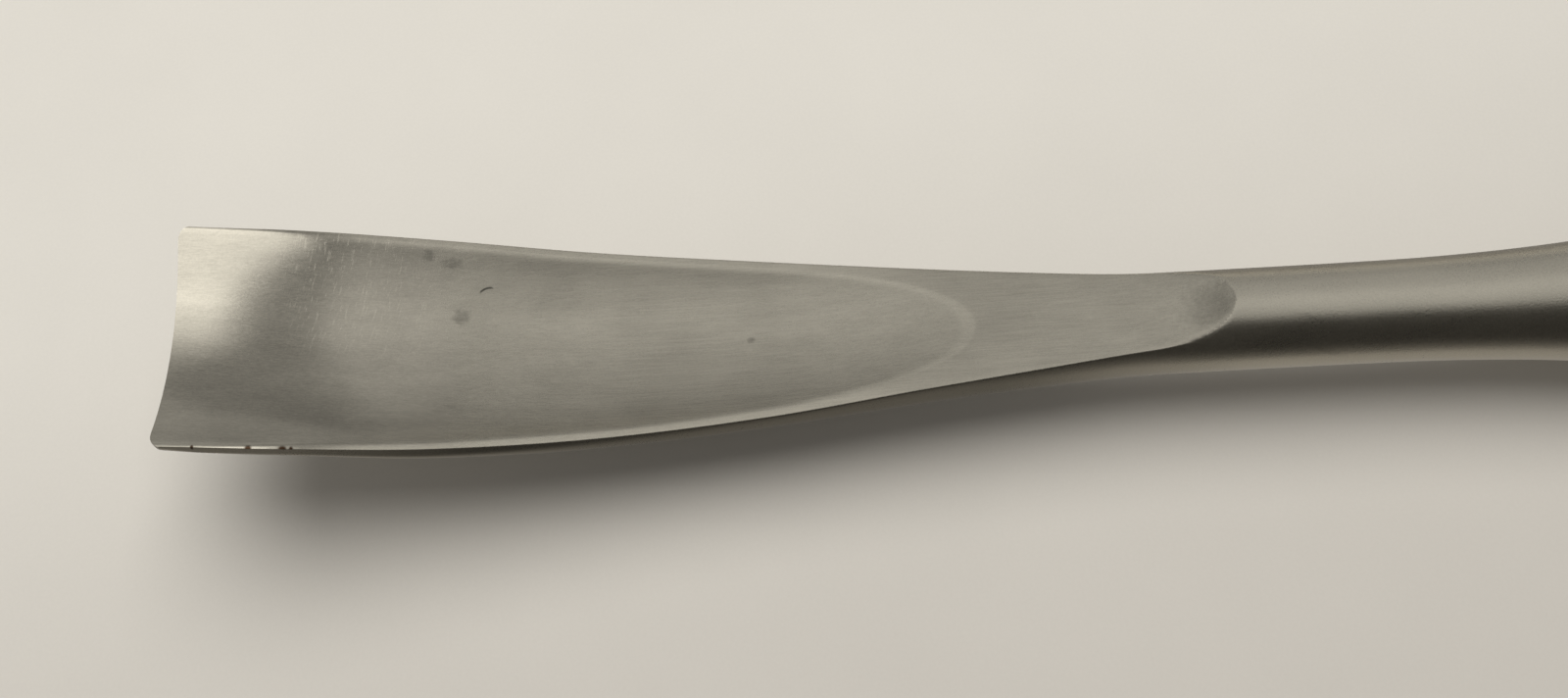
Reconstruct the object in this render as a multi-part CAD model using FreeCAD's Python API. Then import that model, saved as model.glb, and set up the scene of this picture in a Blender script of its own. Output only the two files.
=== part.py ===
"""A gouge-bladed filling knife in stainless steel.

One forging makes the scooped blade, the round neck and the flared bolster, and its tang runs through an eight-sided
tubular grip.  A nut inside the rear plug draws the grip up against the bolster, and a strike cap closes the end.
Lengths are in millimetres.  Stations X are measured from the blade's cutting edge towards the butt, heights Z from
the centre line of the neck and grip; place() then moves a finished piece into the part's own frame.
"""
import FreeCAD
import Part

import math
import os

from FreeCAD import Vector

# ---- driving dimensions -------------------------------------------------------------------------------------------
LENGTH = 224.0                # cutting edge to the crown of the strike cap
ACROSS_FLATS = 15.0           # of the eight-sided grip, bolster, plug flange and cap
AXIS_HEIGHT = ACROSS_FLATS / 2.0   # the part lies on the lowest flat of its grip

# Outline of the blade as (station, value) pairs, joined by smooth curves.
ROUND_FROM = 78.5             # from here back the forging is round
RIM_HALF_WIDTH = [(0, 9.5), (10, 9.45), (20, 9.14), (32, 8.23), (45, 6.93), (57, 5.4), (66, 4.32), (73, 3.55),
                  (ROUND_FROM, 3.16)]
RIM_HEIGHT = [(-2, 7.8), (0, 7.43), (10, 5.6), (20, 3.65), (32, 1.95), (45, 1.35), (57, 1.55), (66, 1.75), (73, 2.03),
              (ROUND_FROM, 2.45)]
BACK_HEIGHT = [(0, 4.9), (10, 1.85), (20, -0.9), (32, -3.0), (45, -3.8), (57, -4.0), (66, -4.0), (ROUND_FROM, -4.0)]
SIDE_DROP = [(0, 0.35), (10, 0.55), (20, 0.8), (45, 0.9), (57, 1.2), (66, 1.6), (73, 2.0),
             (ROUND_FROM, 2.45)]                       # rim above the widest line
NECK_PROFILE = [(ROUND_FROM, 4.0), (90, 4.0), (98, 4.1), (106, 4.5), (113, 5.2), (120, 6.3), (127, 7.6), (134, 8.6)]

FLAT_END = 74.8               # the ground flat leaves the neck along an arc from here
FLAT_RUNOUT_RADIUS = 17.0
FLAT_RUNOUT_LENGTH = 9.5

# The scoop is cut by a round form whose radius and depth below the rim change along the blade.
SCOOP_RADIUS = [(-2, 23.0), (0, 22.2), (10, 18.1), (20, 15.9), (32, 14.1), (46, 13.0), (70, 13.0)]
SCOOP_DEPTH = [(-2, 1.9), (0, 2.0), (10, 2.4), (20, 2.5), (32, 2.2), (39, 1.9), (46.7, 1.45), (54.4, 0.82),
               (61.3, 0.0), (66, -0.8)]
SCOOP_END = 64.0

EDGE_THICKNESS = 0.35         # left at the cutting edge by the bevel ground on the back
BEVEL_LENGTH = 5.0
BEVEL_RISE = 2.4
CORNER_RADIUS = 1.1           # of the blade's two front corners, seen from above
CORNER_MARGIN = 0.02          # the corner arcs end this far outside the rims
CLEAR_ABOVE = 14.0            # heights and widths that clear the whole blade, for cutting blocks
CLEAR_ASIDE = 20.0
DIE_START = 116.0             # from here the flared forging was pressed in an eight-sided die

# Handle stations
BOLSTER_FACE = 134.0
GASKET_THICKNESS = 0.8
GASKET_INSET = 0.1            # the gaskets stand this far inside the flats
SHELL_START = BOLSTER_FACE + GASKET_THICKNESS
SHELL_END = 206.0
FLANGE_START = SHELL_END + GASKET_THICKNESS
CAP_START = 209.8
SHELL_BORE = 5.5              # radius
SPIGOT_LENGTH = 6.0           # of the bolster's spigot inside the shell
TANG_RADIUS = 3.0
THREAD_RADIUS = 2.5
THREAD_START = 196.0
TANG_END = 211.0
SLEEVE_JOINT = 168.0          # where the two core sleeves meet
END_CHAMFER = 0.35

GROOVE_COUNT = 13
GROOVE_PITCH = 3.6
GROOVE_WIDTH = 1.2
GROOVE_DEPTH = 0.35

SEAL_SECTION_RADIUS = 0.55
SEAL_GROOVE_WIDTH = 1.4
FRONT_SEAL_AT = 137.6
REAR_SEAL_AT = 200.0

INDEX_PIN_RADIUS = 0.75
INDEX_PIN_REACH = 3.0         # into the piece on each side of the gasket
INDEX_PIN_FROM_AXIS = 6.9
INDEX_PIN_ANGLE = 22.5        # degrees: under a corner of the eight-sided shell

PLUG_TANG_BORE = 2.6
NUT_SEAT = 203.0
NUT_WELL_RADIUS = 4.8
FLAT_WASHER = (4.6, 2.65, 0.8)       # outer radius, hole radius, thickness
SPRING_WASHER = (4.4, 2.65, 1.2)
SPLIT_WIDTH = 0.8             # of the spring washer's cut
NUT_ACROSS_FLATS = 8.0
NUT_HEIGHT = 4.0
NUT_CHAMFER = 0.4
PLUG_TAIL_END = 219.0
CAP_FLOOR = 219.2
CAP_CROWN_RADIUS = 26.0
CAP_EDGE_BREAK = 1.2          # taken off the corners round the striking face
CAP_EDGE_LENGTH = 3.0
PLUG_PIN_REACH = 2.0          # the rear index pin enters the plug's thin flange less far

HANGING_HOLE_AT = 215.0
HANGING_HOLE_RADIUS = 2.2
EYELET_WALL = 0.5
EYELET_FLARE = 0.7


# ---- helpers ------------------------------------------------------------------------------------------------------
def along(table, x):
    """Value at station x of a smooth curve through a table's points (cubic pieces with shared slopes)."""
    count = len(table)
    i = 0
    while i < count - 2 and x > table[i + 1][0]:
        i += 1
    (x0, v0), (x1, v1) = table[i], table[i + 1]

    def slope(k):
        low = max(k - 1, 0)
        high = min(k + 1, count - 1)
        return (table[high][1] - table[low][1]) / float(table[high][0] - table[low][0])

    span = float(x1 - x0)
    t = (x - x0) / span
    if t < 0.0:
        return v0 + slope(i) * (x - x0)
    if t > 1.0:
        return v1 + slope(i + 1) * (x - x1)
    return ((2 * t ** 3 - 3 * t ** 2 + 1) * v0 + (t ** 3 - 2 * t ** 2 + t) * span * slope(i)
            + (3 * t ** 2 - 2 * t ** 3) * v1 + (t ** 3 - t ** 2) * span * slope(i + 1))


def stations(first, last, step):
    """Evenly spaced stations from first to last, about step apart."""
    count = max(2, int(round((last - first) / step)))
    return [first + (last - first) * i / count for i in range(count + 1)]


def rod(radius, start, end):
    """A round bar along the centre line."""
    return Part.makeCylinder(radius, end - start, Vector(start, 0, 0), Vector(1, 0, 0))


def eight_sided(across_flats, start, end):
    """An eight-sided bar along the centre line, with flats above, below and at both sides."""
    corner = across_flats / 2.0 / math.cos(math.pi / 8)
    points = []
    for k in range(9):
        angle = math.pi / 8 + k * math.pi / 4
        points.append(Vector(start, corner * math.cos(angle), corner * math.sin(angle)))
    return Part.Face(Part.makePolygon(points)).extrude(Vector(end - start, 0, 0))


def outside_of(solid, start, end):
    """What is left of a wide block between two stations once the solid is taken out of it."""
    reach = 30.0
    block = Part.makeBox(end - start, 2 * reach, 2 * reach, Vector(start, -reach, -reach))
    return block.cut(solid)


def turned(profile):
    """A solid turned about the centre line from (station, radius) points."""
    points = [Vector(x, 0, r) for x, r in profile]
    points.append(points[0])
    face = Part.Face(Part.makePolygon(points))
    return face.revolve(Vector(0, 0, 0), Vector(1, 0, 0), 360)


def chamfered_bar(across_flats, start, end, chamfer):
    """An eight-sided bar whose two ends are turned down to a small chamfer."""
    corner = across_flats / 2.0 / math.cos(math.pi / 8)
    flat = across_flats / 2.0
    profile = [(start, 0), (start, flat - chamfer), (start + chamfer + corner - flat, corner),
               (end - chamfer - corner + flat, corner), (end, flat - chamfer), (end, 0)]
    return eight_sided(across_flats, start, end).common(turned(profile))


def index_pin(start, end):
    """The dowel that keeps two eight-sided pieces in line; its holes are cut with the same shape."""
    angle = math.radians(INDEX_PIN_ANGLE)
    foot = Vector(start, INDEX_PIN_FROM_AXIS * math.cos(angle), INDEX_PIN_FROM_AXIS * math.sin(angle))
    return Part.makeCylinder(INDEX_PIN_RADIUS, end - start, foot, Vector(1, 0, 0))


def seal_groove(at):
    """The ring of metal removed for a seal on a spigot."""
    half = SEAL_GROOVE_WIDTH / 2.0
    floor = SHELL_BORE - 2 * SEAL_SECTION_RADIUS
    return rod(SHELL_BORE + 1, at - half, at + half).cut(rod(floor, at - half, at + half))


def seal_ring(at):
    """A round-section ring that fills its groove from floor to bore."""
    return Part.makeTorus(SHELL_BORE - SEAL_SECTION_RADIUS, SEAL_SECTION_RADIUS, Vector(at, 0, 0), Vector(1, 0, 0))


# ---- the forging --------------------------------------------------------------------------------------------------
def blank_section(x):
    """Half width, half height and centre height of the forging's oval section at station x."""
    if x >= ROUND_FROM:
        radius = along(NECK_PROFILE, x)
        return radius, radius, 0.0
    centre = along(RIM_HEIGHT, x) - along(SIDE_DROP, x)
    half_height = centre - along(BACK_HEIGHT, x)
    drop = along(SIDE_DROP, x) / half_height
    return along(RIM_HALF_WIDTH, x) / math.sqrt(1 - drop * drop), half_height, centre


def oval(x, half_width, half_height, centre):
    """A closed oval in the plane of station x."""
    tall = half_height > half_width
    major, minor = max(half_width, half_height), min(half_width, half_height)
    across = Vector(0, 0, 1) if tall else Vector(0, 1, 0)
    if major - minor < 1e-6:
        curve = Part.Circle(Vector(x, 0, centre), Vector(1, 0, 0), major)
        curve.XAxis = Vector(0, 1, 0)
        return Part.Wire([curve.toShape()])
    middle = Vector(x, 0, centre)
    curve = Part.Ellipse(middle + across * major, middle + Vector(1, 0, 0).cross(across) * minor, middle)
    return Part.Wire([curve.toShape()])


def forged_blank():
    """The forging before grinding: an oval that grows out of the round neck and flattens towards the edge."""
    blade = [oval(x, *blank_section(x)) for x in stations(0.0, ROUND_FROM, 5.0)]
    neck = [oval(x, *blank_section(x)) for x in stations(ROUND_FROM, BOLSTER_FACE, 5.0)[1:]]
    return Part.makeLoft(blade + neck, True, False)


def above_flat():
    """Everything above the ground flat, whose run-out arc leaves the neck at the rear."""
    points = [Vector(x, 0, along(RIM_HEIGHT, x)) for x in stations(RIM_HEIGHT[0][0], FLAT_END, 6.5)]
    ground = Part.BSplineCurve()
    ground.interpolate(points)
    start = points[-1]
    back_step = 0.5
    lean = math.atan((start.z - along(RIM_HEIGHT, FLAT_END - back_step)) / back_step)
    centre = start + Vector(-math.sin(lean), 0, math.cos(lean)) * FLAT_RUNOUT_RADIUS

    def on_arc(length):
        turn = lean + length / FLAT_RUNOUT_RADIUS
        return centre + Vector(math.sin(turn), 0, -math.cos(turn)) * FLAT_RUNOUT_RADIUS

    runout = Part.Arc(start, on_arc(FLAT_RUNOUT_LENGTH / 2.0), on_arc(FLAT_RUNOUT_LENGTH))
    end = on_arc(FLAT_RUNOUT_LENGTH)
    lid = Part.makePolygon([end, Vector(end.x, 0, CLEAR_ABOVE), Vector(points[0].x, 0, CLEAR_ABOVE), points[0]])
    wire = Part.Wire([ground.toShape(), runout.toShape()] + lid.Edges)
    return Part.Face(wire).extrude(Vector(0, 2 * CLEAR_ASIDE, 0)).translated(Vector(0, -CLEAR_ASIDE, 0))


def scoop_form(growth=lambda x: 0.0, first=SCOOP_DEPTH[0][0], last=SCOOP_END, step=4.0):
    """The round form whose underside is the scoop; growth enlarges it about the same centre."""
    rings = []
    for x in stations(first, last, step):
        radius = along(SCOOP_RADIUS, x)
        floor = along(RIM_HEIGHT, x) - along(SCOOP_DEPTH, x)
        ring = Part.Circle(Vector(x, 0, floor + radius), Vector(1, 0, 0), radius + growth(x))
        ring.XAxis = Vector(0, 0, 1)
        rings.append(Part.Wire([ring.toShape()]))
    return Part.makeLoft(rings, True, False)


def edge_bevel():
    """What the bevel removes from the back of the blade behind the cutting edge."""
    first = -1.0
    keep = scoop_form(lambda x: EDGE_THICKNESS + BEVEL_RISE * max(x, 0.0) / BEVEL_LENGTH, first, BEVEL_LENGTH, 1.0)
    length = BEVEL_LENGTH - first
    top = along(RIM_HEIGHT, 0.0) + 1.0
    block = Part.makeBox(length, 2 * CLEAR_ASIDE, top + CLEAR_ASIDE, Vector(first, -CLEAR_ASIDE, -CLEAR_ASIDE))
    return block.cut(keep)


def front_corners():
    """The two corner pieces removed where the cutting edge meets the sides, rounded when seen from above."""
    r = CORNER_RADIUS
    side = along(RIM_HALF_WIDTH, 0.0) + CORNER_MARGIN
    turn = r * (1 - math.sqrt(0.5))
    outer_side = side + 3 * r
    pieces = []
    for sign in (-1, 1):
        tangent_edge = Vector(0, sign * (side - r), 0)
        tangent_side = Vector(r, sign * side, 0)
        arc = Part.Arc(tangent_edge, Vector(turn, sign * (side - turn), 0), tangent_side)
        outer = Part.makePolygon([tangent_side, Vector(r, sign * outer_side, 0), Vector(-r, sign * outer_side, 0),
                                  Vector(-r, sign * (side - r), 0), tangent_edge])
        face = Part.Face(Part.Wire([arc.toShape()] + outer.Edges))
        pieces.append(face.extrude(Vector(0, 0, 2 * CLEAR_ASIDE)).translated(Vector(0, 0, -CLEAR_ASIDE)))
    return pieces


def blade_forging():
    """Scooped blade, neck, bolster, spigot and threaded tang in one piece."""
    body = forged_blank()
    body = body.cut(above_flat())
    body = body.cut(scoop_form())
    body = body.cut(edge_bevel())
    for corner in front_corners():
        body = body.cut(corner)
    body = body.cut(outside_of(eight_sided(ACROSS_FLATS, DIE_START, BOLSTER_FACE), DIE_START, BOLSTER_FACE))
    spigot = rod(SHELL_BORE, BOLSTER_FACE, BOLSTER_FACE + SPIGOT_LENGTH).cut(seal_groove(FRONT_SEAL_AT))
    tang = rod(TANG_RADIUS, BOLSTER_FACE + SPIGOT_LENGTH, THREAD_START)
    thread = rod(THREAD_RADIUS, THREAD_START, TANG_END)
    body = body.fuse([spigot, tang, thread])
    return body.cut(index_pin(BOLSTER_FACE - INDEX_PIN_REACH, BOLSTER_FACE)).removeSplitter()


# ---- the handle ---------------------------------------------------------------------------------------------------
def gasket(start):
    """A thin eight-sided fibre gasket with room for the spigot and the index pin."""
    end = start + GASKET_THICKNESS
    plate = eight_sided(ACROSS_FLATS - 2 * GASKET_INSET, start, end)
    return plate.cut(rod(SHELL_BORE, start, end)).cut(index_pin(start, end))


def grip_shell():
    """The eight-sided tube of the grip, with a row of grip grooves round it."""
    shell = chamfered_bar(ACROSS_FLATS, SHELL_START, SHELL_END, END_CHAMFER)
    shell = shell.cut(rod(SHELL_BORE, SHELL_START, SHELL_END))
    middle = (SHELL_START + SHELL_END) / 2.0
    for k in range(GROOVE_COUNT):
        start = middle + (k - (GROOVE_COUNT - 1) / 2.0) * GROOVE_PITCH - GROOVE_WIDTH / 2.0
        end = start + GROOVE_WIDTH
        shell = shell.cut(outside_of(eight_sided(ACROSS_FLATS - 2 * GROOVE_DEPTH, start, end), start, end))
    shell = shell.cut(index_pin(SHELL_START, SHELL_START + INDEX_PIN_REACH))
    return shell.cut(index_pin(SHELL_END - INDEX_PIN_REACH, SHELL_END))


def core_sleeve(start, end):
    """A turned sleeve that fills the space between tang and shell."""
    return rod(SHELL_BORE, start, end).cut(rod(TANG_RADIUS, start, end))


def eyelet_body():
    """The outside of the hanging eyelet across the cap, flared at both ends."""
    half = ACROSS_FLATS / 2.0
    radius = HANGING_HOLE_RADIUS + EYELET_WALL
    barrel = Part.makeCylinder(radius, 2 * half, Vector(HANGING_HOLE_AT, -half, 0), Vector(0, 1, 0))
    for side in (-1, 1):
        flare = Part.makeCone(radius, radius + EYELET_FLARE, EYELET_FLARE,
                              Vector(HANGING_HOLE_AT, side * (half - EYELET_FLARE), 0), Vector(0, side, 0))
        barrel = barrel.fuse(flare)
    return barrel.removeSplitter()


def hanging_eyelet():
    """The tubular rivet that holds the cap on and is the hole to hang the tool by."""
    half = ACROSS_FLATS / 2.0
    hole = Part.makeCylinder(HANGING_HOLE_RADIUS, 2 * half, Vector(HANGING_HOLE_AT, -half, 0), Vector(0, 1, 0))
    return eyelet_body().cut(hole)


def rear_plug():
    """Spigot, flange and tail that close the shell and carry the nut."""
    plug = rod(SHELL_BORE, THREAD_START, FLANGE_START)
    plug = plug.fuse(chamfered_bar(ACROSS_FLATS, FLANGE_START, CAP_START, END_CHAMFER))
    plug = plug.fuse(rod(SHELL_BORE, CAP_START, PLUG_TAIL_END))
    plug = plug.cut(rod(PLUG_TANG_BORE, THREAD_START, NUT_SEAT))
    plug = plug.cut(rod(NUT_WELL_RADIUS, NUT_SEAT, PLUG_TAIL_END))
    plug = plug.cut(seal_groove(REAR_SEAL_AT))
    plug = plug.cut(index_pin(FLANGE_START, FLANGE_START + PLUG_PIN_REACH))
    return plug.cut(eyelet_body())


def washer(outer, hole, start, thickness):
    """A plain washer on the threaded end of the tang."""
    return rod(outer, start, start + thickness).cut(rod(hole, start, start + thickness))


def spring_washer(start):
    """The nut's spring washer, split at one side."""
    outer, hole, thickness = SPRING_WASHER
    slit = Part.makeBox(3 * thickness, 2 * outer, SPLIT_WIDTH, Vector(start - thickness, 0, -SPLIT_WIDTH / 2.0))
    return washer(outer, hole, start, thickness).cut(slit)


def tang_nut(start):
    """A hexagon nut with its corners turned off."""
    corner = NUT_ACROSS_FLATS / 2.0 / math.cos(math.pi / 6)
    points = [Vector(start, corner * math.cos(k * math.pi / 3), corner * math.sin(k * math.pi / 3)) for k in range(7)]
    nut = Part.Face(Part.makePolygon(points)).extrude(Vector(NUT_HEIGHT, 0, 0))
    flat = NUT_ACROSS_FLATS / 2.0
    end = start + NUT_HEIGHT
    nut = nut.common(turned([(start, 0), (start, flat), (start + NUT_CHAMFER, corner), (end - NUT_CHAMFER, corner),
                             (end, flat), (end, 0)]))
    return nut.cut(rod(THREAD_RADIUS, start, end))


def strike_cap():
    """The cup-shaped butt, eight-sided, with a domed striking face."""
    over = LENGTH + 1.0
    bar = chamfered_bar(ACROSS_FLATS, CAP_START, over, END_CHAMFER)
    crown = Part.makeSphere(CAP_CROWN_RADIUS, Vector(LENGTH - CAP_CROWN_RADIUS, 0, 0))
    bar = bar.common(crown)
    corner = ACROSS_FLATS / 2.0 / math.cos(math.pi / 8)
    face = corner - CAP_EDGE_BREAK
    edge = LENGTH - (CAP_CROWN_RADIUS - math.sqrt(CAP_CROWN_RADIUS ** 2 - face ** 2))
    slope_end = edge + CAP_EDGE_LENGTH / 7.5
    cone = turned([(CAP_START, 0), (CAP_START, corner + 1.0), (slope_end - CAP_EDGE_LENGTH, corner + 1.0),
                   (slope_end, face - END_CHAMFER), (over, face - END_CHAMFER), (over, 0)])
    bar = bar.common(cone)
    bar = bar.cut(rod(SHELL_BORE, CAP_START, CAP_FLOOR))
    return bar.cut(eyelet_body())


def place(shape):
    """Moves a piece into the part's frame: origin midway along the length, on the surface the part lies on."""
    return shape.translated(Vector(-LENGTH / 2.0, 0, AXIS_HEIGHT))


def main():
    washer_start = NUT_SEAT
    spring_start = washer_start + FLAT_WASHER[2]
    nut_start = spring_start + SPRING_WASHER[2]
    pieces = {
        "blade_forging": blade_forging(),
        "front_gasket": gasket(BOLSTER_FACE),
        "front_seal_ring": seal_ring(FRONT_SEAL_AT),
        "front_index_pin": index_pin(BOLSTER_FACE - INDEX_PIN_REACH, SHELL_START + INDEX_PIN_REACH),
        "grip_shell": grip_shell(),
        "core_sleeve_front": core_sleeve(BOLSTER_FACE + SPIGOT_LENGTH, SLEEVE_JOINT),
        "core_sleeve_rear": core_sleeve(SLEEVE_JOINT, THREAD_START),
        "rear_gasket": gasket(SHELL_END),
        "rear_seal_ring": seal_ring(REAR_SEAL_AT),
        "rear_index_pin": index_pin(SHELL_END - INDEX_PIN_REACH, FLANGE_START + PLUG_PIN_REACH),
        "rear_plug": rear_plug(),
        "flat_washer": washer(FLAT_WASHER[0], FLAT_WASHER[1], washer_start, FLAT_WASHER[2]),
        "spring_washer": spring_washer(spring_start),
        "tang_nut": tang_nut(nut_start),
        "strike_cap": strike_cap(),
        "hanging_eyelet": hanging_eyelet(),
    }
    os.makedirs("parts", exist_ok=True)
    for name, shape in pieces.items():
        solid = place(shape)
        box = solid.BoundBox
        print(f"{name:18s} valid {solid.isValid()} solids {len(solid.Solids)} volume {solid.Volume:9.1f} mm3 "
              f"X {box.XMin:.2f}..{box.XMax:.2f} Y {box.YMin:.2f}..{box.YMax:.2f} Z {box.ZMin:.2f}..{box.ZMax:.2f}")
        solid.exportStep(os.path.join("parts", name + ".step"))


main()
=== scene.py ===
# %% [markdown]
# # A gouge-bladed filling knife in stainless steel
# The tool is one steel forging with a long scoop ground into its blade, a round neck that swells into an
# eight-sided bolster, and a tubular steel grip.  This lesson dresses its engineering model for a picture.
# Every shape below is measured from the cutting edge towards the butt in millimetres and then put into the
# frame's metres, because a maker reads a blade from its edge.

import math

import bpy
import numpy as np
from mathutils import Matrix, Vector


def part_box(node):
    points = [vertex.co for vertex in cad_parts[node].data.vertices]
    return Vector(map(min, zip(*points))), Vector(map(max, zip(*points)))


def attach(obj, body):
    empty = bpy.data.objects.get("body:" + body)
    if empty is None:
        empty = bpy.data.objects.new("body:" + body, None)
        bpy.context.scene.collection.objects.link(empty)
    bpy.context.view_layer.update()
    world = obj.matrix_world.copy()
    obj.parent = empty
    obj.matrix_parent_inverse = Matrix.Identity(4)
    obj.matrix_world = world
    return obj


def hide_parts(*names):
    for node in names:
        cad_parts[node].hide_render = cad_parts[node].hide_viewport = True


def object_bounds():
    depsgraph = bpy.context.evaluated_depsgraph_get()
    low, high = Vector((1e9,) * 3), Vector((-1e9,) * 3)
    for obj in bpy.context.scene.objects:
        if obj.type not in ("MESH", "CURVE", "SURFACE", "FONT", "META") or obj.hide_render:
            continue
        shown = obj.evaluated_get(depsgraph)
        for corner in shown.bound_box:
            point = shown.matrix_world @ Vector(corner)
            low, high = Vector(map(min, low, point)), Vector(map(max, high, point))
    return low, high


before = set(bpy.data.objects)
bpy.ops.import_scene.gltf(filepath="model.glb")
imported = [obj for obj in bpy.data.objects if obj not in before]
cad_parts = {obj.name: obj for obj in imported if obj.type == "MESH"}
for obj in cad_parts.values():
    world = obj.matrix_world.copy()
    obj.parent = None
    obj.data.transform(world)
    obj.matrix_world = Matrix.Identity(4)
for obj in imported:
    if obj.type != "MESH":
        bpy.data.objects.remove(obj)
cad_low, cad_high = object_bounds()
MM = 0.001
forging_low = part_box("blade_forging")[0]
shell_low, shell_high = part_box("grip_shell")
EDGE_X = forging_low.x                              # the cutting edge
AXIS_Z = (shell_low.z + shell_high.z) / 2           # centre line of the neck and grip
ACROSS_FLATS = (shell_high.z - shell_low.z) / MM
print("edge at", round(EDGE_X, 4), "m, centre line at", round(AXIS_Z, 4), "m")
print("across the flats", round(ACROSS_FLATS, 2), "mm")

# %% [markdown]
# ## The blade's outline
# A smith describes such a blade by a few sizes at a few stations: how wide it is between its rims, how high
# the rims and the back stand, and how deep the scoop is and what radius its wheel had.  The stations
# could be joined by straight lines, but light would show every corner, so a smooth curve runs through them.

# %% Sizes at stations along the blade
ROUND_FROM = 78.5             # from here back the blank is round
RIM_HALF_WIDTH = [(0, 9.5), (10, 9.45), (20, 9.14), (32, 8.23), (45, 6.93), (57, 5.4), (66, 4.32), (73, 3.55),
                  (ROUND_FROM, 3.16)]
RIM_HEIGHT = [(-2, 7.8), (0, 7.43), (10, 5.6), (20, 3.65), (32, 1.95), (45, 1.35), (57, 1.55), (66, 1.75),
              (73, 2.03), (ROUND_FROM, 2.45)]
BACK_HEIGHT = [(0, 4.9), (10, 1.85), (20, -0.9), (32, -3.0), (45, -3.8), (57, -4.0), (66, -4.0),
               (ROUND_FROM, -4.0)]
SIDE_DROP = [(0, 0.35), (10, 0.55), (20, 0.8), (45, 0.9), (57, 1.2), (66, 1.6), (73, 2.0),
             (ROUND_FROM, 2.45)]                       # rim above the widest line
SCOOP_RADIUS = [(-2, 23.0), (0, 22.2), (10, 18.1), (20, 15.9), (32, 14.1), (46, 13.0), (70, 13.0)]
SCOOP_DEPTH = [(-2, 1.9), (0, 2.0), (10, 2.4), (20, 2.5), (32, 2.2), (39, 1.9), (46.7, 1.45), (54.4, 0.82),
               (61.3, 0.0), (66, -0.8)]
NECK_RADIUS = [(ROUND_FROM, 4.0), (90, 4.0), (98, 4.1), (106, 4.5), (113, 5.2), (120, 6.3), (127, 7.6),
               (134, 8.6)]


def smooth_curve(table, x):
    """Height at x of a curve through the table's points.  Between two points it is the cubic whose slope at
    each point is that of the chord between its neighbours; past the ends it runs on straight."""
    at, value = np.array(table, float).T
    slope = np.empty_like(value)
    slope[1:-1] = (value[2:] - value[:-2]) / (at[2:] - at[:-2])
    slope[0] = (value[1] - value[0]) / (at[1] - at[0])
    slope[-1] = (value[-1] - value[-2]) / (at[-1] - at[-2])
    k = np.clip(np.searchsorted(at, x, side="right") - 1, 0, len(at) - 2)
    span = at[k + 1] - at[k]
    t = (x - at[k]) / span
    u = np.clip(t, 0, 1)
    cubic = ((2 * u**3 - 3 * u**2 + 1) * value[k] + (u**3 - 2 * u**2 + u) * span * slope[k]
             + (3 * u**2 - 2 * u**3) * value[k + 1] + (u**3 - u**2) * span * slope[k + 1])
    return cubic + (t - u) * span * np.where(t < 0, slope[k], slope[k + 1])


def ease(x, start, end):
    """0 before start, 1 after end, and the cubic 3u^2 - 2u^3 between them."""
    u = np.clip((x - start) / (end - start), 0, 1)
    return u * u * (3 - 2 * u)


def soft_min(a, b, blend):
    """The smaller of a and b, rounded where they meet: minus blend times the log of the sum of the
    exponentials of minus a and minus b over blend."""
    return -blend * np.logaddexp(-a / blend, -b / blend)


print("blade is", 2 * RIM_HALF_WIDTH[0][1], "mm wide at its edge")

# %% [markdown]
# ## The ground surfaces
# Three cuts shape the forging: a long flat along the top that ends in an arc on the round neck, the scoop,
# which is a circle of changing radius carried along a falling floor, and a bevel on the back behind the
# edge.  Each is written as a height over the plan, so the finished top is simply the lowest of them.

# %% Heights of the flat, the scoop, the oval blank and the bevel
FLAT_END = 74.8               # from here the flat turns up along an arc until it leaves the neck
RUNOUT_RADIUS = 17.0
SLOPE_STEP = 0.5              # over which the flat's slope is measured
EDGE_THICKNESS = 0.35
BEVEL_LENGTH = 5.0
BEVEL_RISE = 2.4
CORNER_RADIUS = 1.1
NEVER = 99.0                  # a height above everything
ARC_SHARE = 0.95              # of the run-out circle's radius, past which the arc rises no further
MOST_DROP = 0.9               # of the oval's half height, so that its width stays finite


def flat_height(x):
    """The smooth rim curve up to the run-out, then a circle of RUNOUT_RADIUS that leaves it at its slope."""
    before = smooth_curve(RIM_HEIGHT, np.minimum(x, FLAT_END))
    rise = smooth_curve(RIM_HEIGHT, FLAT_END) - smooth_curve(RIM_HEIGHT, FLAT_END - SLOPE_STEP)
    lean = math.atan(float(rise) / SLOPE_STEP)
    along = np.maximum(x - FLAT_END, 0) + RUNOUT_RADIUS * math.sin(lean)
    along = np.minimum(along, ARC_SHARE * RUNOUT_RADIUS)
    arc = RUNOUT_RADIUS * math.cos(lean) - np.sqrt(RUNOUT_RADIUS**2 - along**2)
    return before + np.where(x > FLAT_END, arc, 0.0)


def scoop_height(x, y, growth=0.0):
    """The lower half of a circle over y: floor + radius - sqrt((radius + growth)^2 - y^2)."""
    radius = smooth_curve(SCOOP_RADIUS, x)
    floor = smooth_curve(RIM_HEIGHT, x) - smooth_curve(SCOOP_DEPTH, x)
    return floor + radius - np.sqrt(np.maximum((radius + growth)**2 - y * y, 0))


def blank_oval(x):
    """Half width, half height and centre height of the forging's section: an oval through both rims and the
    back, then a circle on the neck."""
    drop, rim = smooth_curve(SIDE_DROP, x), smooth_curve(RIM_HEIGHT, x)
    centre = rim - drop
    half_height = centre - smooth_curve(BACK_HEIGHT, x)
    half_width = smooth_curve(RIM_HALF_WIDTH, x) / np.sqrt(1 - np.minimum(drop / half_height, MOST_DROP)**2)
    neck = smooth_curve(NECK_RADIUS, x)
    round_part = x >= ROUND_FROM
    return (np.where(round_part, neck, half_width), np.where(round_part, neck, half_height),
            np.where(round_part, 0.0, centre))


apex = np.linspace(50, 66, 1601)
print("scoop runs out at", round(float(apex[np.argmin(np.abs(smooth_curve(SCOOP_DEPTH, apex)))]), 1), "mm")

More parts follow.
